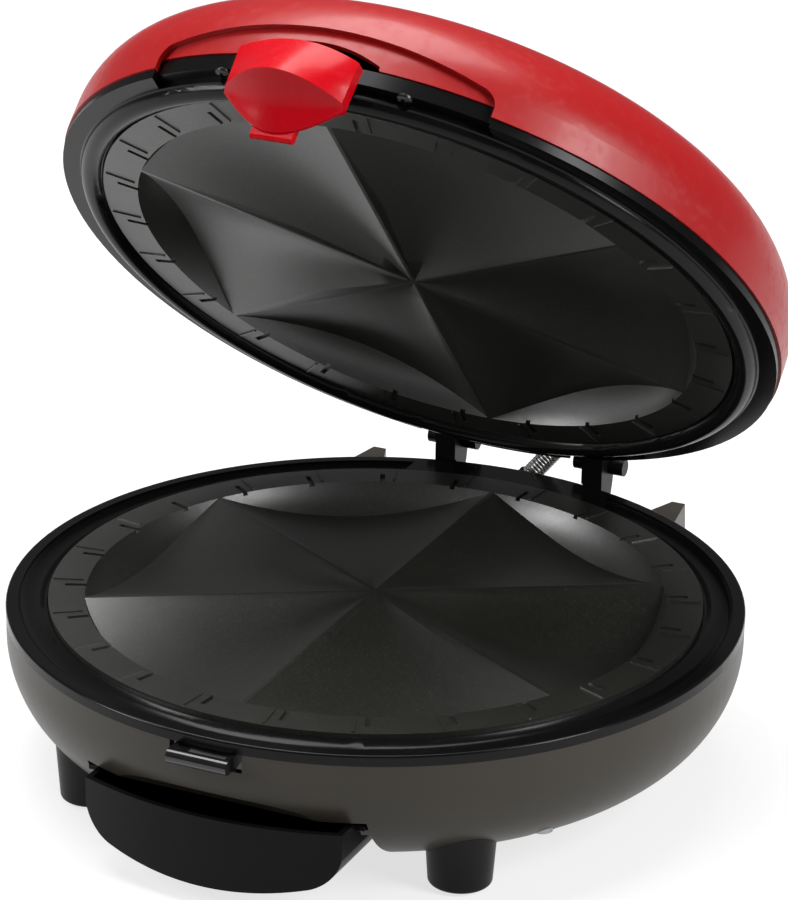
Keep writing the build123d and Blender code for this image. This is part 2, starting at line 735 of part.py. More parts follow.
# Rubber bush where the supply cord would enter, at the back of the bowl
with BuildPart() as cord_bush:
    with BuildSketch(Plane.XZ.offset(-bush_y - 0.1)) as bush_neck:
        with Locations((0, bush_z)):
            Circle(bush_r)
    extrude(amount=bush_l)
    with BuildSketch(Plane.XZ.offset(-bush_y - 0.1)) as bush_collar:
        with Locations((0, bush_z)):
            Circle(bush_collar_r)
    extrude(amount=-bush_collar_t)
    fillet(cord_bush.edges().sort_by(Axis.Y)[-1], 0.8)
    with Locations(Location((0, bush_y, bush_z), (90, 0, 0))):
        Cylinder(bush_bore_r, 4 * bush_l, mode=Mode.SUBTRACT)
save(cord_bush, "cord_bush")

# Screws from inside the bowl into the saddle
with BuildPart() as saddle_screws:
    for side in (-1, 1):
        seat_y = sqrt((base_r - base_wall) ** 2 - (saddle_screw_x + saddle_screw_head_r) ** 2) - 0.3
        with Locations(Location((side * saddle_screw_x, seat_y, saddle_screw_z), (-90, 0, 0))):
            Cylinder(saddle_screw_r, saddle_screw_l, align=upright)
            Cylinder(saddle_screw_head_r, saddle_screw_head_h, align=hanging)
save(saddle_screws, "saddle_screws")

# Heating under the lower plate; the upper plate's pieces are the same ones mirrored between the plates
element_z = land_z - pocket_wall_t - pocket_depth * element_orbit / pocket_floor_r - element_r - element_under
with BuildPart() as lower_element:
    first = radians(90 + element_gap / 2)
    start_plane = Plane((0, 0, 0), (cos(first), sin(first), 0), (sin(first), -cos(first), 0))
    with BuildSketch(start_plane) as element_section:
        with Locations((element_orbit, element_z)):
            Circle(element_r)
    revolve(axis=Axis.Z, revolution_arc=360 - element_gap)
    lead_places = ring_places(element_orbit, (90 - element_gap / 2, 90 + element_gap / 2))
    with Locations(*[(x, y, element_z) for x, y in lead_places]):
        Sphere(element_r)
        Cylinder(lead_r, lead_l, align=hanging)
save(lower_element, "lower_element")

with BuildPart() as lower_heat_shield:
    with BuildSketch(Plane.XZ) as pan_section:
        with BuildLine():
            Polyline(
                (pan_vent_r, pan_floor_z),
                (pan_floor_r, pan_floor_z),
                (pan_wall_r + pan_t, pan_wall_z),
                (pan_rim_r, pan_rim_z),
                (pan_rim_r - pan_t, pan_rim_z),
                (pan_wall_r, pan_wall_z + pan_t),
                (pan_floor_r - pan_t / 2, pan_floor_z + pan_t),
                (pan_vent_r, pan_floor_z + pan_t),
                close=True,
            )
        make_face()
    revolve(axis=Axis.Z)
    with BuildSketch(Plane.XY.offset(pan_floor_z)) as lead_holes:
        with Locations(*lead_places):
            Circle(lead_r + 0.5)
    extrude(amount=pan_t, mode=Mode.SUBTRACT)
save(lower_heat_shield, "lower_heat_shield")

with BuildPart() as lower_thermostat:
    stat_z = land_z - pocket_wall_t - fit_gap - pocket_depth * stat_r / pocket_floor_r
    with BuildSketch(Plane.XY.offset(stat_z)) as stat_top:
        Circle(stat_r)
    extrude(amount=-stat_h)
    with BuildSketch(Plane.XY.offset(land_z - pocket_wall_t - fit_gap - stat_h)) as stat_tabs:
        Rectangle(3 * stat_r, 4.0)
    extrude(amount=-1.5)
save(lower_thermostat, "lower_thermostat")

with BuildPart() as thermal_fuse:
    fuse_z = land_z - pocket_wall_t - pocket_depth * fuse_y / pocket_floor_r - fuse_r - 0.8
    with Locations(Location((0, fuse_y, fuse_z), (0, 90, 0))):
        Cylinder(fuse_r, fuse_l)
        Cylinder(fuse_r / 4, 1.6 * fuse_l)
save(thermal_fuse, "thermal_fuse")

with BuildPart() as terminal_block:
    with BuildSketch(Plane.XY.offset(base_floor_z + base_wall)) as block_plan:
        with Locations((0, block_y)):
            Rectangle(block_size[0], block_size[1])
    extrude(amount=block_size[2])
    with BuildSketch(Plane.XY.offset(base_floor_z + base_wall + block_size[2])) as block_wells:
        with Locations((0, block_y)):
            with GridLocations(block_size[0] / 3, block_size[1] / 2, 3, 2):
                Circle(2.0)
    extrude(amount=-0.6 * block_size[2], mode=Mode.SUBTRACT)
save(terminal_block, "terminal_block")

for piece, name in (
    (lower_element, "upper_element"),
    (lower_heat_shield, "upper_heat_shield"),
    (lower_thermostat, "upper_thermostat"),
    (lower_plate_screws, "upper_plate_screws"),
):
    with BuildPart() as upper_piece:
        add(mirror(piece.part, about=between_plates))
    save(upper_piece, name, on_lid=True)


# Lid bezel: the ring that carries the upper plate, with bead, outer flange and upstand
def front_recess(margin):
    """The recess over the latch seen from the front, grown by margin, as a long solid."""
    half = notch_half + margin
    top = lid_z + brow_top + margin
    with BuildPart(mode=Mode.PRIVATE) as form:
        with BuildSketch(Plane.XZ.offset(shell_r + 5)) as front:
            with BuildLine():
                side = half - brow_corner
                brow = ThreePointArc((-side, top - brow_fall), (0, top), (side, top - brow_fall))
                right = RadiusArc(brow @ 1, (half, top - brow_fall - brow_corner), brow_corner + 0.5)
                left = RadiusArc((-half, top - brow_fall - brow_corner), brow @ 0, brow_corner + 0.5)
                Polyline(right @ 1, (half, lid_z - 5), (-half, lid_z - 5), left @ 0)
            make_face()
        extrude(amount=-60.0)
    return form.part


with BuildPart() as lid_bezel:
    with BuildSketch(Plane.XZ) as bezel_section:
        with BuildLine():
            bead = ThreePointArc(
                (bead_r - bead_half_w, lid_z),
                (bead_r, lid_z - bead_drop),
                (bead_r + bead_half_w, lid_z + 0.6),
            )
            Polyline(
                bead @ 1,
                (upstand_r - upstand_t - 1.4, lid_z + bezel_flange),
                (bezel_r, lid_z + bezel_flange),
                (bezel_r, lid_z + bezel_top),
                (upstand_r, lid_z + bezel_top),
                (upstand_r, lid_z + upstand_h),
                (upstand_r - upstand_t, lid_z + upstand_h),
                (upstand_r - upstand_t, lid_z + shelf_z + ledge_t),
                (ledge_r, lid_z + shelf_z + ledge_t),
                (ledge_r, lid_z + shelf_z),
                (plate_seat_r, lid_z + shelf_z),
                (plate_seat_r, lid_z + 0.4),
                bead @ 0,
            )
        make_face()
    revolve(axis=Axis.Z)
    with BuildPart(mode=Mode.PRIVATE) as recess_room:
        with BuildSketch(Plane.XY.offset(lid_z + bezel_flange - 0.5)) as under_flange:
            Circle(bezel_r + 2)
            Circle(upstand_r - upstand_t - 1.4, mode=Mode.SUBTRACT)
            with Locations((0, -bezel_r)):
                Rectangle(2 * notch_half, 100, mode=Mode.INTERSECT)
        extrude(amount=notch_cut - bezel_flange + 0.5)
        with BuildSketch(Plane.XY.offset(lid_z)) as beyond_upstand:
            Circle(bezel_r + 2)
            Circle(upstand_r, mode=Mode.SUBTRACT)
            with Locations((0, -bezel_r)):
                Rectangle(2 * notch_half, 100, mode=Mode.INTERSECT)
        extrude(amount=upstand_h)
    add(recess_room.part, mode=Mode.SUBTRACT)
    for side in (-1, 1):
        with BuildSketch(Plane.XY.offset(lid_z + bezel_flange - 0.5)) as post_slot:
            with Locations((side * post_x, hinge_y)):
                Rectangle(post_w + 1.4, 2 * (hinge_y - post_slot_y))
        extrude(amount=upstand_h, mode=Mode.SUBTRACT)
    with BuildPart(mode=Mode.PRIVATE) as screw_bosses:
        with BuildSketch(Plane.XY.offset(lid_z + notch_cut)) as boss_plan:
            with Locations(*bezel_screw_places):
                Circle(bezel_screw_head_r + 0.3)
            Circle(upstand_r, mode=Mode.INTERSECT)
        extrude(amount=upstand_h - notch_cut)
    add(screw_bosses.part)
    with BuildSketch(Plane.XY.offset(lid_z)) as bezel_holes:
        with Locations(*bezel_screw_places):
            Circle(bezel_screw_r + 0.1)
    extrude(amount=upstand_h, mode=Mode.SUBTRACT)
    with BuildSketch(Plane.XY.offset(lid_z)) as head_seats:
        with Locations(*bezel_screw_places):
            Circle(bezel_screw_head_r + 0.2)
    extrude(amount=notch_cut, mode=Mode.SUBTRACT)
    with BuildSketch(Plane.XY.offset(lid_z + shelf_z)) as shelf_holes:
        with Locations(*ring_places(plate_screw_orbit, plate_screw_angles)):
            Circle(plate_screw_r)
    extrude(amount=ledge_t, mode=Mode.SUBTRACT)
    with BuildPart(mode=Mode.PRIVATE) as hinge_block:
        with BuildSketch(Plane.XY.offset(lid_z + shelf_z + ledge_t / 2)) as rear_wall:
            with Locations((0, (rear_wall_y + rear_wall_y - 2.0) / 2)):
                Rectangle(2 * rear_wall_half, 2.0)
        extrude(amount=rear_wall_h)
        with BuildSketch(Plane.XY.offset(lid_z + shelf_z + ledge_t / 2)) as rear_foot:
            with Locations((0, (rear_wall_y + plate_seat_r) / 2)):
                Rectangle(2 * rear_wall_half, rear_wall_y - plate_seat_r)
        extrude(amount=ledge_t / 2)
        add(dome(shell_wall + fit_gap), mode=Mode.INTERSECT)
    add(hinge_block.part)
    with BuildSketch(Plane.XY.offset(lid_z + web_z)) as web_plan:
        with Locations((0, (rear_wall_y - 1.0 + hinge_y) / 2)):
            Rectangle(2 * (post_x - post_w / 2 - hinge_side_gap), hinge_y - rear_wall_y + 1.0)
    extrude(amount=web_h)
    with Locations(Location((0, hinge_y, hinge_z), (0, 90, 0))):
        Cylinder(barrel_r, 2 * (post_x - post_w / 2 - hinge_side_gap))
    for side in (-1, 1):
        barrel_end = post_x - post_w / 2
        with Locations(Location((side * (barrel_end - pin_in_barrel / 2), hinge_y, hinge_z), (0, 90, 0))):
            Cylinder(pin_r + pin_run, pin_in_barrel + 1.0, mode=Mode.SUBTRACT)
        with BuildSketch(Plane.YZ.offset(side * lug_x - lug_w / 2)) as lug:
            with Locations((-latch_axis_y, lid_z + latch_axis_z)):
                Circle(lug_r)
            with Locations((-(latch_axis_y + lug_root_y) / 2, lid_z + latch_axis_z)):
                Rectangle(latch_axis_y - lug_root_y, 2 * lug_r)
        extrude(amount=lug_w)
    with Locations(Location((0, -latch_axis_y, lid_z + latch_axis_z), (0, 90, 0))):
        Cylinder(latch_pin_r + pin_run, 2 * latch_pin_half, mode=Mode.SUBTRACT)
save(lid_bezel, "lid_bezel", on_lid=True)

with BuildPart() as bezel_screws:
    for x, y in bezel_screw_places:
        with Locations((x, y, lid_z + notch_cut)):
            Cylinder(bezel_screw_r, bezel_screw_l, align=upright)
            Cylinder(bezel_screw_head_r, bezel_screw_head_h, align=hanging)
            with Locations((0, 0, -bezel_screw_head_h)):
                Box(2.6, 0.7, 1.2, mode=Mode.SUBTRACT)
                Box(0.7, 2.6, 1.2, mode=Mode.SUBTRACT)
save(bezel_screws, "bezel_screws", on_lid=True)

# Lid shell: a pressed dome with a recess over the latch and a slot for the hinge
with BuildPart() as lid_shell:
    add(dome())
    add(dome(shell_wall), mode=Mode.SUBTRACT)
    with BuildPart(mode=Mode.PRIVATE) as recess_cut:
        add(front_recess(0))
        add(dome(brow_depth), mode=Mode.SUBTRACT)
    with BuildPart(mode=Mode.PRIVATE) as recess_wall:
        add(dome(brow_depth))
        add(dome(brow_depth + shell_wall), mode=Mode.SUBTRACT)
        add(front_recess(shell_wall), mode=Mode.INTERSECT)
    with BuildPart(mode=Mode.PRIVATE) as bosses_up:
        with BuildSketch(Plane.XY.offset(lid_z + upstand_h + fit_gap)) as boss_circles:
            with Locations(*bezel_screw_places):
                Circle(shell_boss_r)
        extrude(amount=shell_boss_l)
        add(dome(brow_depth), mode=Mode.INTERSECT)
    add(recess_cut.part, mode=Mode.SUBTRACT)
    add(recess_wall.part)
    add(bosses_up.part)
    with BuildSketch(Plane.XY.offset(lid_z)) as recess_rim:
        Circle(shell_r - brow_depth + 0.01)
        with Locations((0, -shell_r)):
            Rectangle(2 * (notch_half + shell_wall), 120, mode=Mode.INTERSECT)
    extrude(amount=upstand_h + fit_gap, mode=Mode.SUBTRACT)
    with BuildSketch(Plane.XZ.offset(shell_r + 1)) as latch_opening:
        with BuildLine():
            arch = ThreePointArc(
                (-opening_half, lid_z + opening_side_z),
                (0, lid_z + opening_top),
                (opening_half, lid_z + opening_side_z),
            )
            Polyline(arch @ 1, (opening_half, lid_z), (-opening_half, lid_z), arch @ 0)
        make_face()
    extrude(amount=-20.0, mode=Mode.SUBTRACT)
    with BuildSketch(Plane.XZ.offset(-shell_r - 1)) as hinge_slot:
        with Locations((0, lid_z)):
            Rectangle(2 * hinge_slot_half, 2 * hinge_slot_top)
    extrude(amount=shell_r + 1 - rear_wall_y + 2.0, mode=Mode.SUBTRACT)
    with BuildSketch(Plane.XY.offset(lid_z + upstand_h)) as thread_holes:
        with Locations(*bezel_screw_places):
            Circle(bezel_screw_r)
    extrude(amount=bezel_screw_l - upstand_h + notch_cut + 0.5, mode=Mode.SUBTRACT)
    with BuildSketch(Plane.XY.offset(lid_z + 30)) as lens_holes:
        with Locations((-lens_x, lens_y), (lens_x, lens_y)):
            Circle(lens_r + 0.05)
    extrude(amount=60, mode=Mode.SUBTRACT)
save(lid_shell, "lid_shell", on_lid=True)

# Latch: bowed face with an arched ridge, hollow behind, hinged at its top and hooked under the bar
def latch_plan(z, front_y, side_y, inset=0.0):
    """Draw the latch's section at a height above the lid's joint, with a bowed front and drafted sides."""
    half, tail = latch_half - inset, latch_tail_half - inset
    with BuildSketch(Plane.XY.offset(lid_z + z)) as plan:
        with BuildLine():
            bow = ThreePointArc((-half, -side_y), (0, -front_y), (half, -side_y))
            Polyline(
                bow @ 1,
                (tail, -latch_back_y),
                (tail, -upstand_r),
                (-tail, -upstand_r),
                (-tail, -latch_back_y),
                bow @ 0,
            )
        make_face()
    return plan.sketch.face()


with BuildPart() as latch:
    crown_slope = (latch_ridge_y - latch_top_y) / (latch_top - latch_ridge_z)
    side_slope = (latch_side_y - latch_top_side_y) / (latch_top_side_z - latch_side_z)
    top_plan = latch_plan(latch_top, latch_top_y, latch_top_side_y - side_slope * (latch_top - latch_top_side_z))
    chin_plan = latch_plan(
        latch_chin_z,
        latch_ridge_y + crown_slope * (latch_ridge_z - latch_chin_z),
        latch_side_y + side_slope * (latch_side_z - latch_chin_z),
    )
    loft([chin_plan, top_plan])
    with BuildSketch(Plane.XZ.offset(latch_ridge_y + 20)) as latch_front:
        with BuildLine():
            arched_top = ThreePointArc(
                (-latch_half, lid_z + latch_top_side_z),
                (0, lid_z + latch_top),
                (latch_half, lid_z + latch_top_side_z),
            )
            chin = ThreePointArc(
                (latch_half, lid_z + latch_chin_side_z),
                (0, lid_z + latch_chin_z),
                (-latch_half, lid_z + latch_chin_side_z),
            )
            Line(arched_top @ 1, chin @ 0)
            Line(chin @ 1, arched_top @ 0)
        make_face()
    extrude(amount=-50.0, mode=Mode.INTERSECT)
    ridge = Vector(0, -latch_ridge_y, lid_z + latch_ridge_z)
    fall = Vector(0, -latch_chin_y, lid_z + latch_chin_z) - ridge
    outward = fall.cross(Vector(1, 0, 0)).normalized()
    with BuildSketch(Plane(origin=ridge - fall, x_dir=(1, 0, 0), z_dir=fall)) as lower_face:
        with BuildLine():
            sweep_arc = ThreePointArc((-latch_half, -latch_sweep), (0, 0), (latch_half, -latch_sweep))
            Polyline(sweep_arc @ 1, (latch_half, -40), (-latch_half, -40), sweep_arc @ 0)
        make_face()
    extrude(amount=3 * fall.length, mode=Mode.INTERSECT)
    hollow_r = (hollow_l**2 / 4 + hollow_depth**2) / (2 * hollow_depth)
    hollow_mid = ridge + fall / 2 + outward * (hollow_r - hollow_depth)
    with Locations(Location((hollow_mid.X, hollow_mid.Y, hollow_mid.Z), (0, 90, 0))):
        Cylinder(hollow_r, 2 * latch_half, mode=Mode.SUBTRACT)
    with BuildSketch(Plane.YZ.offset(-latch_half)) as latch_back:
        Polygon(
            (-latch_neck_y, lid_z + latch_top),
            (-latch_neck_y, lid_z + latch_neck_z),
            (-latch_back_y, lid_z + latch_neck_z),
            (-latch_back_y, lid_z + hook_z - hook_t),
            (-latch_back_y - 1.2, lid_z + hook_z - hook_t),
            (-latch_back_y - 1.2, lid_z + latch_chin_z),
            (-latch_ridge_y - 20, lid_z + latch_chin_z),
            (-latch_ridge_y - 20, lid_z + latch_top),
            align=None,
        )
    extrude(amount=2 * latch_half, mode=Mode.INTERSECT)
    with BuildPart(mode=Mode.PRIVATE) as latch_cavity:
        loft(
            [
                latch_plan(hook_z, latch_ridge_y - 8.3, latch_side_y - 4.3, latch_wall),
                latch_plan(latch_top - latch_wall, latch_top_y - 2.4, latch_top_side_y - 1.2, latch_wall),
            ]
        )
        with BuildSketch(Plane.XZ.offset(latch_ridge_y)) as cavity_front:
            with BuildLine():
                inner_half = latch_half - latch_wall
                inner_top = ThreePointArc(
                    (-inner_half, lid_z + latch_top_side_z - 1.4),
                    (0, lid_z + latch_top - latch_wall),
                    (inner_half, lid_z + latch_top_side_z - 1.4),
                )
                Polyline(inner_top @ 1, (inner_half, lid_z + latch_chin_side_z + 1.5))
                Polyline(
                    (inner_half, lid_z + latch_chin_side_z + 1.5),
                    (bar_half + 1.0, lid_z + hook_z),
                    (-bar_half - 1.0, lid_z + hook_z),
                    (-inner_half, lid_z + latch_chin_side_z + 1.5),
                    inner_top @ 0,
                )
            make_face()
        extrude(amount=-30.0, mode=Mode.INTERSECT)
    add(latch_cavity.part, mode=Mode.SUBTRACT)
    with Locations((0, -latch_back_y - 0.6, lid_z + hook_tab_z)):
        Box(2 * hook_half, 1.8, hook_z - hook_t - hook_tab_z + 1.0, align=upright)
    for side in (-1, 1):
        with BuildSketch(Plane.YZ.offset(side * rib_x - rib_w / 2)) as rib:
            with Locations((-latch_axis_y, lid_z + latch_axis_z)):
                Circle(rib_r)
            with Locations((-latch_axis_y - rib_r, lid_z + latch_axis_z)):
                Rectangle(2 * rib_r, 2 * rib_r)
        extrude(amount=rib_w)
    with Locations(Location((0, -latch_axis_y, lid_z + latch_axis_z), (0, 90, 0))):
        Cylinder(latch_pin_r + pin_run, 2 * (rib_x + rib_w), mode=Mode.SUBTRACT)
save(latch, "latch", on_lid=True)

with BuildPart() as latch_pin:
    with Locations(Location((0, -latch_axis_y, lid_z + latch_axis_z), (0, 90, 0))):
        Cylinder(latch_pin_r, 2 * latch_pin_half)
save(latch_pin, "latch_pin", on_lid=True)

# Two indicator lenses in the crown of the lid, over a lamp holder
crown_mid_z = lid_z + shell_flank - sqrt((crown_r - shoulder_r) ** 2 - (shell_r - shoulder_r) ** 2)
crown_z = crown_mid_z + sqrt(crown_r**2 - lens_y**2)
for side, name in ((-1, "power_lens"), (1, "ready_lens")):
    with BuildPart() as lens:
        with BuildSketch(Plane.XY.offset(crown_z - lens_l)) as lens_stem:
            with Locations((side * lens_x, lens_y)):
                Circle(lens_r)
        extrude(amount=lens_l + lens_proud)
        fillet(lens.edges().sort_by(Axis.Z)[-1], 0.5)
    save(lens, name, on_lid=True)

with BuildPart() as lamp_holder:
    with BuildSketch(Plane.XY.offset(crown_z - lens_l - fit_gap)) as holder_plan:
        with Locations((0, lens_y)):
            RectangleRounded(lamp_box[0], lamp_box[1], 2.0)
    extrude(amount=-lamp_box[2])
save(lamp_holder, "lamp_holder", on_lid=True)

# Wire guard: an open coil round the wires that cross from base to lid, swept along quarter-turn biarcs
coil_span = coil_axis_end - coil_axis.position
coil_up = coil_axis.direction
coil_side = Vector(0, 1, 0)
coil_across = coil_up.cross(coil_side)
coil_turns = int((coil_span.length - 4 * coil_wire_r) / coil_pitch)


def coil_point(turns):
    """Point and unit tangent of the coil's centre line after the given number of turns."""
    a = 2 * pi * turns
    out = coil_side * cos(a) + coil_across * sin(a)
    along = coil_across * cos(a) - coil_side * sin(a)
    rise = 2 * coil_wire_r + coil_pitch * turns
    tangent = (along * (2 * pi * coil_r) + coil_up * coil_pitch).normalized()
    return coil_axis.position + out * coil_r + coil_up * rise, tangent


with BuildPart() as wire_guard:
    with BuildLine() as coil_route:
        start, heading = coil_point(0)
        Line(start - heading * 2 * coil_wire_r, start)
        for quarter in range(4 * coil_turns):
            near, leave = coil_point(quarter / 4)
            far, arrive = coil_point((quarter + 1) / 4)
            chord = far - near
            turn = 2 * (1 - leave.dot(arrive))
            pull = 2 * chord.dot(leave + arrive)
            handle = (sqrt(pull**2 + 4 * turn * chord.dot(chord)) - pull) / (2 * turn)
            between = (far - arrive * handle) - (near + leave * handle)
            middle = near + leave * handle + between / 2
            TangentArc(near, middle, tangent=leave)
            TangentArc(middle, far, tangent=between.normalized())
        end, heading = coil_point(coil_turns)
        Line(end, end + heading * 2 * coil_wire_r)
    with BuildSketch(Plane(origin=coil_route.line @ 0, z_dir=coil_route.line % 0)) as wire_section:
        Circle(coil_wire_r)
    sweep(path=coil_route.line)
save(wire_guard, "wire_guard")

coil_samples = [coil_point(i / 48)[0] for i in range(48 * coil_turns + 1)]
least = min(
    (coil_samples[i] - coil_samples[j]).length
    for i in range(len(coil_samples))
    for j in range(i + 36, min(i + 60, len(coil_samples)))
)
print("wire guard: turns", coil_turns, "least gap to itself", round(least - 2 * coil_wire_r, 3), "mm")
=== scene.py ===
import math

import bmesh
import bpy
from mathutils import Matrix, Vector


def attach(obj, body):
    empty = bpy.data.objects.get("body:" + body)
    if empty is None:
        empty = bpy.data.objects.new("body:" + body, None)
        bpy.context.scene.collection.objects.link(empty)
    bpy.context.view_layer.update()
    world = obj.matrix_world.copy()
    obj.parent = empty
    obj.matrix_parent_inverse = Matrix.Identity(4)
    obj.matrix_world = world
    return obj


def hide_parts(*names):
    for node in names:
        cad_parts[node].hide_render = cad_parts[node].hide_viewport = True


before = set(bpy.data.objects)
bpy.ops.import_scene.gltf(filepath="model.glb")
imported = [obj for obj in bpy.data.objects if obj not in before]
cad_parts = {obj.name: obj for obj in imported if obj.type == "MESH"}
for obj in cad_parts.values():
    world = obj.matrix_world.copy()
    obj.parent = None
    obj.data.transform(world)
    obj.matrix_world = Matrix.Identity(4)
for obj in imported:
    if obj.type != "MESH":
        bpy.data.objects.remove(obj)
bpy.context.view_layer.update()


# The studio: a white floor and room, soft boxes above, and the photograph's own viewpoint.
# To the eye the floor and the room are white. Gloss mirrors a dim room, the lamps and a pale floor.
class Wire:
    """One output of a shader node. Arithmetic on it adds Math nodes."""

    def __init__(self, tree, socket=None):
        self.tree = tree
        self.socket = socket

    def node(self, kind, settings=None, inputs=None, out=0):
        """Add a node: its settings first, then its sockets' values or links, and give one output."""
        made = self.tree.nodes.new(kind)
        for name, value in (settings or {}).items():
            setattr(made, name, value)
        for name, value in (inputs or {}).items():
            if isinstance(value, Wire):
                self.tree.links.new(value.socket, made.inputs[name])
            else:
                made.inputs[name].default_value = value
        return Wire(self.tree, made.outputs[out])

    def math(self, operation, first, second=0.0):
        return self.node("ShaderNodeMath", {"operation": operation}, {0: first, 1: second})

    def __add__(self, other):
        return self.math("ADD", self, other)

    def __mul__(self, other):
        return self.math("MULTIPLY", self, other)

    __radd__ = __add__
    __rmul__ = __mul__

    def between(self, low, high):
        """A smooth 0 to 1 as this value goes from low to high."""
        settings = {"interpolation_type": "SMOOTHSTEP"}
        inputs = {"Value": self, "From Min": low, "From Max": high}
        return self.node("ShaderNodeMapRange", settings, inputs)

    def mix(self, first, second):
        """Blend two colours by this value. The colours are the node's inputs 6 and 7, its output 2."""
        settings = {"data_type": "RGBA"}
        return self.node("ShaderNodeMix", settings, {0: self, 6: first, 7: second}, out=2)

    def noise(self, scale, detail=2.0):
        """Noise of the object's own coordinates, in metres, at so many waves per metre."""
        where = self.node("ShaderNodeTexCoord", out="Object")
        inputs = {"Vector": where, "Scale": scale, "Detail": detail}
        return self.node("ShaderNodeTexNoise", inputs=inputs)


def linear(share):
    """One channel of a screen colour, 0 to 1, as linear light."""
    return ((share + 0.055) / 1.055) ** 2.4 if share > 0.0393 else share / 12.92


def paint(red, green, blue):
    """A colour from its 0 to 255 screen values, as the linear values that Blender takes."""
    return tuple(linear(c / 255) for c in (red, green, blue)) + (1,)


def scaled(colour, factor):
    """The same colour, lighter or darker."""
    return tuple(c * factor for c in colour[:3]) + (1,)


def finish(name, **constants):
    """A new material, with the constants that are given set on its Principled shader's sockets."""
    material = bpy.data.materials.new(name)
    material.use_nodes = True
    shader = material.node_tree.nodes["Principled BSDF"]
    for socket, value in constants.items():
        shader.inputs[socket.replace("_", " ").title().replace("Ior", "IOR")].default_value = value
    return material, Wire(material.node_tree), shader


def feed(shader, socket, wire):
    """Link a varying value to one of the shader's sockets."""
    wire.tree.links.new(wire.socket, shader.inputs[socket])


def relief(shader, height, strength, distance):
    """Let a height disturb the shading normal."""
    inputs = {"Strength": strength, "Distance": distance, "Height": height}
    feed(shader, "Normal", height.node("ShaderNodeBump", inputs=inputs))


def place_camera():
    """Stand the camera where the photograph was taken, with the same narrow view."""
    turn, lift, roll = math.radians(24.6955), math.radians(21.636), math.radians(0.856)
    spot = (0.45603, -0.97963, 0.53042)
    back = Vector((math.sin(turn) * math.cos(lift), -math.cos(turn) * math.cos(lift), math.sin(lift)))
    right = Vector((math.cos(turn), math.sin(turn), 0))
    up = back.cross(right)
    level = right * math.cos(roll) + up * math.sin(roll)
    upright = up * math.cos(roll) - right * math.sin(roll)
    lens = bpy.data.cameras.new("camera")
    lens.sensor_fit = "VERTICAL"
    lens.sensor_height = 36.0
    lens.lens = 149.67
    lens.clip_start = 0.05
    camera = bpy.data.objects.new("camera", lens)
    rows = [(level[i], upright[i], back[i], spot[i]) for i in range(3)]
    camera.matrix_world = Matrix(rows + [(0, 0, 0, 1)])
    bpy.context.collection.objects.link(camera)
    bpy.context.scene.camera = camera


def soft_box(name, place, aim, width, height, watts):
    """A large rectangular lamp facing a point."""
    lamp = bpy.data.lights.new(name, "AREA")
    lamp.shape = "RECTANGLE"
    lamp.size, lamp.size_y = width, height
    lamp.energy = watts
    holder = bpy.data.objects.new(name, lamp)
    holder.location = place
    holder.rotation_euler = (Vector(aim) - Vector(place)).to_track_quat("-Z", "Y").to_euler()
    bpy.context.collection.objects.link(holder)


place_camera()
bpy.context.scene.view_settings.view_transform = "Standard"
soft_box("top_light", (-0.25, 0.15, 1.3), (0, 0, 0.1), 1.1, 0.9, 20.0)
soft_box("left_light", (-1.1, -0.75, 0.75), (0, 0, 0.1), 0.35, 0.9, 12.0)
soft_box("right_light", (1.15, -0.15, 0.75), (0, 0, 0.12), 0.45, 0.9, 14.0)

white = (1, 1, 1, 1)
dim_room = (0.13, 0.13, 0.135, 1)
room = bpy.data.worlds.new("room")
room.use_nodes = True
bpy.context.scene.world = room
seen = Wire(room.node_tree).node("ShaderNodeLightPath", out="Is Camera Ray")
feed(room.node_tree.nodes["Background"], "Color", seen.mix(dim_room, white))

floor_reach = 4
floor_corners = [(floor_reach * x, floor_reach * y, 0) for x, y in ((-1, -1), (1, -1), (1, 1), (-1, 1))]
floor_grey = (0.32, 0.32, 0.32, 1)
glow_to_eye, glow_to_gloss = 0.72, 0.55
floor_mesh = bpy.data.meshes.new("floor")
floor_mesh.from_pydata(floor_corners, [], [(0, 1, 2, 3)])
floor = bpy.data.objects.new("floor", floor_mesh)
bpy.context.collection.objects.link(floor)
floor_material, wire, shader = finish(
    "white_floor", roughness=0.7, base_color=floor_grey, emission_color=white
)
seen = wire.node("ShaderNodeLightPath", out="Is Camera Ray")
mirrored = wire.node("ShaderNodeLightPath", out="Is Glossy Ray")
feed(shader, "Emission Strength", seen * glow_to_eye + mirrored * glow_to_gloss)
floor_mesh.materials.append(floor_material)


# Base bowl: one deep moulding in satin dark grey-brown plastic, standing on the four feet.
# Its fine spark-eroded grain spreads the light, and handling has polished it in faint clouds.
def moulded(name, colour, roughness, grain_depth, shine):
    """Moulded plastic with a fine grain and faint cloudy changes of sheen."""
    material, wire, shader = finish(name, ior=1.5, specular_ior_level=shine)
    cloud = wire.noise(24.0, 3.0)
    feed(shader, "Base Color", cloud.mix(scaled(colour, 0.88), scaled(colour, 1.12)))
    scratch = wire.noise(160.0, 4.0)
    feed(shader, "Roughness", cloud * 0.1 + scratch * 0.06 + (roughness - 0.08))
    relief(shader, wire.noise(2600.0, 1.0), grain_depth, 0.00006)
    return material


def dress(nodes, material):
    """Give carried-over nodes their material."""
    for node in nodes.split():
        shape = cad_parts[node]
        shape.data.materials.clear()
        shape.data.materials.append(material)


dress("base_housing", moulded("satin_dark_grey_plastic", paint(60, 56, 49), 0.34, 0.12, 0.3))

# Top ring of the base: black plastic, moulded smoother than the bowl, with a soft gloss.
# It seats the lower plate, with a channel round it, and four screws from below hold it down.
smooth_black = moulded("soft_gloss_black_plastic", paint(13, 13, 13), 0.2, 0.04, 0.18)
dress("deck_ring", smooth_black)

# Lid bezel: the ring that closes the lid round its plate, in the same smooth black plastic.
# The barrel for the hinge pins and the latch's lugs are part of it. Four screws hold it to the shell.
dress("lid_bezel", smooth_black)

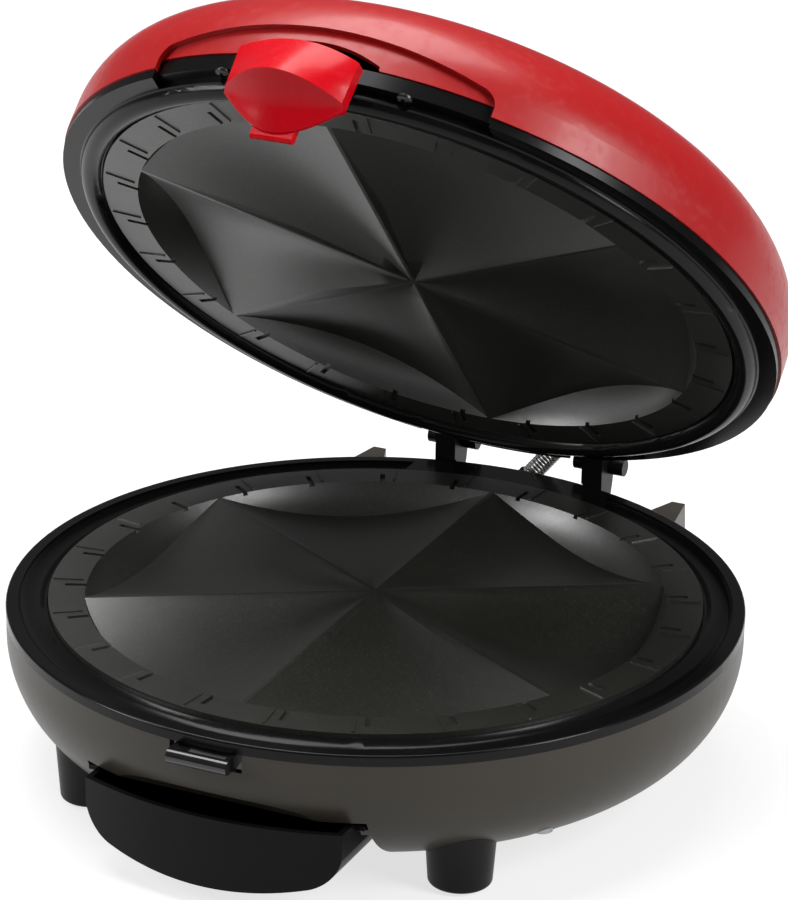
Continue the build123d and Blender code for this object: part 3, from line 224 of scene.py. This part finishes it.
# Drip tray: a thin black drawer moulded a little duller, which hangs on two rails in the bowl's bay.
# It has no handle: fingers reach into the scoop above its curved face and pull it out.
dress("drip_tray", moulded("tray_black_plastic", paint(10, 10, 11), 0.34, 0.1, 0.12))

# Hinge saddle: the block with two posts that the lid swings on, in black plastic left matt.
# Two screws from inside hold it to the back of the bowl, and its bosses stop the open lid.
matt_black = moulded("matt_black_plastic", paint(12, 12, 12), 0.38, 0.2, 0.2)
dress("hinge_saddle", matt_black)

# Feet: four tapered mouldings in the same matt black plastic.
# Each has a peg that goes up into the bowl, and a recess below for its rubber pad.
dress("foot_front_left foot_front_right foot_rear_left foot_rear_right", matt_black)

# Terminal block and lamp holder: small mouldings in the same plastic, hidden inside.
# The block joins the wires on the bowl's floor, and the holder keeps the lamps under the lid's crown.
dress("terminal_block lamp_holder", matt_black)

# Catch: a round bar between two cheeks, in polished black plastic, let into the bowl's front.
# The latch's lip slides over the bar, and its rubbing has left the gloss uneven.
polished, wire, shader = finish("polished_black_plastic", ior=1.5, coat_weight=0.4, coat_roughness=0.04)
wear = wire.noise(220.0, 3.0)
feed(shader, "Base Color", wear.mix(paint(14, 14, 14), paint(24, 24, 24)))
feed(shader, "Roughness", wear * 0.1 + 0.1)
dress("latch_catch", polished)

# Both cooking plates: die-cast aluminium with six pockets each, sprayed with a dark non-stick coat.
# The coat has an orange-peel surface, tiny light specks and a grey-olive sheen at low angles.
coat, wire, shader = finish("non_stick_coat", ior=1.6, specular_ior_level=1.0)
peel = wire.noise(520.0, 3.0)
speck = wire.noise(3200.0, 1.0)
patch = wire.noise(28.0, 3.0)
ground = patch.mix(paint(17, 17, 12), paint(24, 24, 18))
feed(shader, "Base Color", speck.between(0.64, 0.74).mix(ground, paint(92, 92, 86)))
feed(shader, "Roughness", patch * 0.1 + peel * 0.06 + 0.3)
relief(shader, peel, 0.18, 0.00012)
dress("lower_plate upper_plate", coat)


# Lid shell: one dome of glossy red thermoplastic, moulded in colour and polished.
# Long faint waves from cooling bend its highlights, and fine dust dulls the gloss here and there.
def glossy_red(name, colour, roughness, shine):
    """Red plastic with a thin bright skin, faint waves and dust."""
    material, wire, shader = finish(
        name, ior=1.5, specular_ior_level=shine, coat_weight=0.1, coat_roughness=0.08
    )
    wave = wire.noise(14.0, 1.0)
    dust = wire.noise(340.0, 4.0)
    feed(shader, "Base Color", wave.mix(scaled(colour, 0.93), scaled(colour, 1.07)))
    feed(shader, "Roughness", dust.between(0.45, 0.8) * 0.14 + roughness)
    relief(shader, wave, 0.06, 0.004)
    return material


dress("lid_shell", glossy_red("gloss_red_plastic", paint(158, 17, 19), 0.34, 0.42))

# Latch: one moulding in a brighter red, an open shell with an upper face bowed out to a ridge,
# a hollowed lower face for the thumb, and behind it a lip that hooks under the catch's bar.
# It swings on a steel pin through its two ears.
MM = 0.001
lid_z = 57.0             # height of the lid's joint face when shut
lid_opening = -47        # degrees from shut, as it stands
hinge_spot = Vector((0, 118.5, 74.0))
swing_open = (
    Matrix.Translation(hinge_spot)
    @ Matrix.Rotation(math.radians(lid_opening), 4, "X")
    @ Matrix.Translation(-hinge_spot)
)


def on_lid(x, y, z):
    """A point given on the shut lid, its height counted from the joint face, as it stands open."""
    return swing_open @ Vector((x, y, lid_z + z)) * MM


def piece_of(name, builder, material, node, body, crease):
    """Make an object from a bmesh, creased at edges of that many degrees, in a node's place."""
    mesh = bpy.data.meshes.new(name)
    bmesh.ops.recalc_face_normals(builder, faces=builder.faces)
    for face in builder.faces:
        face.smooth = True
    for edge in builder.edges:
        if len(edge.link_faces) == 2 and edge.calc_face_angle() > math.radians(crease):
            edge.smooth = False
    builder.to_mesh(mesh)
    builder.free()
    mesh.materials.append(material)
    piece = bpy.data.objects.new(name, mesh)
    bpy.context.collection.objects.link(piece)
    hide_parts(node)
    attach(piece, body)
    return piece


def angles(count):
    """Angles evenly round a full turn."""
    return [math.tau * i / count for i in range(count)]


def join_loops(builder, low, high):
    """Join two closed loops of the same number of points with faces."""
    for i in range(len(low)):
        j = (i + 1) % len(low)
        builder.faces.new((low[i], low[j], high[j], high[i]))


def add_prism(builder, outline, x_low, x_high):
    """Add a closed prism: an outline in the YZ plane, swept from one X to another."""
    low, high = ([builder.verts.new((x, y, z)) for y, z in outline] for x in (x_low, x_high))
    builder.faces.new(low)
    builder.faces.new(reversed(high))
    join_loops(builder, high, low)


# Half width, front Y and height in the middle, then how far the ends fall back and drop.
latch_top = (18.9, -127.3, 3.2, 7.0, 3.0)
latch_ridge = (18.5, -136.2, 11.9, -8.3, 1.4)
latch_chin = (19.1, -122.9, 0.4, -21.4, -10.6)
chin_pinch = 0.12        # share by which the chin's points crowd to the middle
latch_dish = 1.3         # depth of the thumb's hollow
dish_way = Vector((0, 0.72, 0.69))
upper_steps, lower_steps = 6, 12
latch_columns = 40
latch_rim_y = -120.2     # back edge of its side walls
least_side = 0.05        # least depth of a side wall, where it runs out
chin_rise = 0.1          # from the chin to the edge turned back behind it
outer_chin_run, inner_chin_run = 1.2, 0.1
cavity_share = 0.87      # of its width that is hollow
upper_wall = Vector((0, 1.4, -0.5))
lower_wall = Vector((0, 1.1, 1.05))
merge_reach = 0.01
latch_crease = 28


def bowed(edge, s):
    """A point of a bowed edge, at a share s of -1 to 1 from side to side."""
    half, y, sweep, z, drop = edge
    return Vector((half * s, y + sweep * s * s, z - drop * s * s))


def latch_section(s):
    """The latch's skin at one share from side to side, as points from its top edge down."""
    top, ridge, chin = (bowed(edge, s) for edge in (latch_top, latch_ridge, latch_chin))
    chin.x *= 1 - chin_pinch * (1 - s * s)
    points = [top.lerp(ridge, i / upper_steps) for i in range(upper_steps)]
    for i in range(lower_steps + 1):
        t = i / lower_steps
        # The hollow is deepest in the middle and fades out at the ridge, the chin and the sides.
        dish = latch_dish * math.sin(math.pi * t) ** 1.5 * (1 - s**4)
        points.append(ridge.lerp(chin, t) + dish_way * dish)
    return points


def cavity_section(s):
    """The inside of the same skin, a wall's thickness behind it."""
    inward = [upper_wall] * upper_steps + [lower_wall] * (lower_steps + 1)
    return [point + wall for point, wall in zip(latch_section(s), inward)]


def add_skin(builder, section, reach, chin_run):
    """Add an open skin through sections from side to side, its four sides turned back to a rim."""
    columns = []
    for i in range(latch_columns + 1):
        points = section(reach * (-1 + 2 * i / latch_columns))
        top_back = Vector((points[0].x, latch_rim_y, points[0].z))
        columns.append([top_back, *points, points[-1] + Vector((0, chin_run, chin_rise))])
    walls = []
    for column in (columns[0], columns[-1]):
        side = [Vector((p.x, max(latch_rim_y, p.y + least_side), p.z)) for p in column[2:-2]]
        walls.append([column[0], column[0], *side, column[-1], column[-1]])
    grid = [[builder.verts.new(p) for p in column] for column in (walls[0], *columns, walls[1])]
    for left, right in zip(grid, grid[1:]):
        for i in range(len(left) - 1):
            builder.faces.new((left[i], left[i + 1], right[i + 1], right[i]))


# The lip from the side, as Y and height: from its root down the back, round its tip and up the front.
lip_half = 6.6
latch_lip = [
    (-118.6, -12.4), (-118.6, -14.2), (-119.6, -15.2), (-119.6, -22.4),
    (-120.6, -23.2), (-121.8, -23.2), (-122.3, -22.4), (-122.3, -19.8),
    (-123.9, -17.2), (-126.6, -13.9), (-128.2, -12.4),
]
latch_axis_y, latch_axis_z = -117.8, 1.5
ear_x, ear_half_w = 15, 1
ear_r, ear_hole_r = 1.8, 1.22
ear_run = 4.4            # from the pin's axis forward to the ear's end
ear_points = 32


def add_ear(builder, middle_x):
    """Add one ear: a plate that is round behind and square in front, with a hole for the pin."""
    loops = []
    for x in (middle_x - ear_half_w, middle_x + ear_half_w):
        outer, hole = [], []
        for a in angles(ear_points):
            reach = ear_r
            if math.cos(a) < 0:
                reach = min(ear_r / max(abs(math.sin(a)), 1e-6), ear_run / -math.cos(a))
            for loop, r in ((outer, reach), (hole, ear_hole_r)):
                spot = (x, latch_axis_y + r * math.cos(a), latch_axis_z + r * math.sin(a))
                loop.append(builder.verts.new(spot))
        loops.append((outer, hole))
    (low_outer, low_hole), (high_outer, high_hole) = loops
    join_loops(builder, low_outer, low_hole)
    join_loops(builder, high_hole, high_outer)
    join_loops(builder, high_outer, low_outer)
    join_loops(builder, low_hole, high_hole)


builder = bmesh.new()
add_skin(builder, latch_section, 1, outer_chin_run)
add_skin(builder, cavity_section, cavity_share, inner_chin_run)
bmesh.ops.remove_doubles(builder, verts=builder.verts, dist=merge_reach)
bmesh.ops.bridge_loops(builder, edges=[edge for edge in builder.edges if edge.is_boundary])
add_prism(builder, latch_lip, -lip_half, lip_half)
for side in (-1, 1):
    add_ear(builder, side * ear_x)
for vert in builder.verts:
    vert.co = on_lid(*vert.co)
bright_red = glossy_red("gloss_bright_red_plastic", paint(188, 3, 20), 0.26, 0.16)
latch = piece_of("latch_moulding", builder, bright_red, "latch", "latch", latch_crease)
rounding = latch.modifiers.new("soft_edges", "BEVEL")
rounding.width = 0.5 * MM
rounding.segments = 2
rounding.limit_method = "ANGLE"
rounding.angle_limit = math.radians(latch_crease)
rounding.harden_normals = True


# Hinge pins: two short headed pins of drawn steel, bright but lightly oiled.
# Each is pushed in from outside, through its post and into the lid's barrel.
def metal(name, colour, roughness, streaks=900.0):
    """Bare metal with drawn or rolled streaks in its roughness."""
    material, wire, shader = finish(name, metallic=1.0)
    smear = wire.noise(70.0, 3.0)
    streak = wire.noise(streaks, 4.0)
    feed(shader, "Base Color", smear.mix(scaled(colour, 0.85), colour))
    feed(shader, "Roughness", streak * 0.2 + smear * 0.1 + (roughness - 0.15))
    relief(shader, streak, 0.1, 0.00004)
    return material


drawn_steel = metal("drawn_steel", paint(178, 176, 172), 0.3)
dress("hinge_pins", drawn_steel)

# Latch pin: a plain length of the same drawn steel.
# It goes through the latch's two ears and the lugs on the bezel.
dress("latch_pin", drawn_steel)

# Wire guard: an open coil of steel wire, wound from the same bright stock.
# It stands in the saddle's socket, where the wires cross from base to lid.
dress("wire_guard", drawn_steel)

# Screws of the ring, the saddle and the plates: cold-headed steel, zinc plated.
# They are driven from below and from inside, so none of them shows from above.
zinc = metal("zinc_plate", paint(168, 170, 174), 0.32)
dress("ring_screws saddle_screws lower_plate_screws upper_plate_screws", zinc)

# Lid rim screws: four pan heads of blackened steel with a cross recess.
# They hold the bezel to the shell's bosses, and the front two show beside the latch.
rim_screw_orbit = 113.2
rim_screw_xs = {-1: 29.0, 1: 50.0}      # X of the pair in front, at -1, and of the pair behind, at 1
rim_screw_seat_z = 3.2
rim_screw_r, rim_screw_h = 2.5, 1.5
rim_screw_shank_r, rim_screw_shank_l = 1.3, 12.0
head_points = 48
head_skirt = 0.45        # share of the head's height that is straight
crown_turns = (0.35, 0.7, 1.0)          # radians round the crown's curve
cross_blade = 0.16       # half width of the recess's arms, as a share of the head's radius
cross_rings = ((0.56, 1.0), (0.4032, 0.35))     # reach and height of its mouth and floor, as shares
screw_crease = 40


def on_cross(angle, reach):
    """How far out the cross goes in a direction, for arms of this length."""
    fold = abs((angle + math.pi / 4) % (math.pi / 2) - math.pi / 4)
    return min(reach / math.cos(fold), cross_blade * rim_screw_r / max(math.sin(fold), 1e-4))


def add_pan_head(builder, x, y):
    """Add a pan head with a tapered cross recess, its crown down and its shank up into the lid."""
    crown = [(math.cos(t), head_skirt + (1 - head_skirt) * math.sin(t)) for t in crown_turns]
    profile = [(rim_screw_shank_r, rim_screw_shank_l), (rim_screw_shank_r, 0.0), (rim_screw_r, 0.0)]
    profile += [(rim_screw_r, -rim_screw_h * head_skirt)]
    profile += [(rim_screw_r * out, -rim_screw_h * up) for out, up in crown]
    rings = [[(r, z)] * head_points for r, z in profile]
    for share, height in cross_rings:
        reach = rim_screw_r * share
        rings.append([(on_cross(a, reach), -rim_screw_h * height) for a in angles(head_points)])
    loops = []
    for ring in rings:
        loop = []
        for (r, z), a in zip(ring, angles(head_points)):
            spot = on_lid(x + r * math.cos(a), y + r * math.sin(a), rim_screw_seat_z + z)
            loop.append(builder.verts.new(spot))
        loops.append(loop)
    for low, high in zip(loops, loops[1:]):
        join_loops(builder, low, high)
    builder.faces.new(reversed(loops[0]))
    recess_floor = rim_screw_seat_z - rim_screw_h * cross_rings[-1][1]
    middle = builder.verts.new(on_lid(x, y, recess_floor))
    for i in range(head_points):
        builder.faces.new((loops[-1][i], loops[-1][(i + 1) % head_points], middle))


builder = bmesh.new()
for way, reach_x in rim_screw_xs.items():
    for x in (-reach_x, reach_x):
        add_pan_head(builder, x, way * math.sqrt(rim_screw_orbit**2 - x * x))
blackened = metal("blackened_steel", paint(64, 63, 61), 0.33)
piece_of("cross_head_screws", builder, blackened, "bezel_screws", "lid", screw_crease)

# Heating elements: a sheathed rod bent to a ring behind each plate, its ends led through the shield.
# The heat has oxidised the metal to a dull straw-grey.
dress("lower_element upper_element", metal("oxidised_sheath", paint(122, 110, 96), 0.5, 400.0))

# Heat shields: two dishes pressed from aluminium sheet, which still has its rolling marks.
# They send the elements' heat back to the plates and keep it off the plastic.
dress("lower_heat_shield upper_heat_shield", metal("rolled_aluminium", paint(196, 197, 199), 0.38, 300.0))

# Thermostats and thermal fuse: glazed ceramic bodies, off-white with darker flecks.
# A thermostat sits against the back of each plate, and the fuse lies beside the lower one.
ceramic, wire, shader = finish("glazed_ceramic", ior=1.5)
fleck = wire.noise(800.0, 3.0)
feed(shader, "Base Color", fleck.between(0.5, 0.8).mix(paint(222, 216, 200), paint(186, 178, 160)))
feed(shader, "Roughness", fleck * 0.2 + 0.25)
dress("lower_thermostat upper_thermostat thermal_fuse", ceramic)

# Foot pads: four discs stamped from soft black rubber, with a dry bloom.
# Each is pressed into the recess under its foot.
rubber, wire, shader = finish("black_rubber", ior=1.5)
bloom = wire.noise(120.0, 4.0)
feed(shader, "Base Color", bloom.mix(paint(24, 24, 24), paint(48, 47, 46)))
feed(shader, "Roughness", bloom * 0.15 + 0.68)
relief(shader, wire.noise(1800.0, 2.0), 0.25, 0.00008)
dress("foot_pads", rubber)

# Cord bush: a collared sleeve moulded from the same rubber.
# It is pushed into the hole at the back of the bowl.
dress("cord_bush", rubber)


# Indicator lenses: two small jewels of dyed acrylic, red for power and green for ready.
# Each is polished, and pushed into its hole in the lid's crown.
def jewel(name, core, rim):
    """Acrylic dyed right through, with a bright polished skin."""
    material, wire, shader = finish(name, ior=1.49, coat_weight=1.0, coat_roughness=0.02)
    grain = wire.noise(1400.0, 1.0)
    feed(shader, "Base Color", grain.mix(core, rim))
    feed(shader, "Roughness", grain * 0.08 + 0.06)
    return material


dress("power_lens", jewel("red_acrylic", paint(176, 18, 20), paint(128, 8, 10)))
dress("ready_lens", jewel("green_acrylic", paint(38, 150, 52), paint(18, 96, 30)))
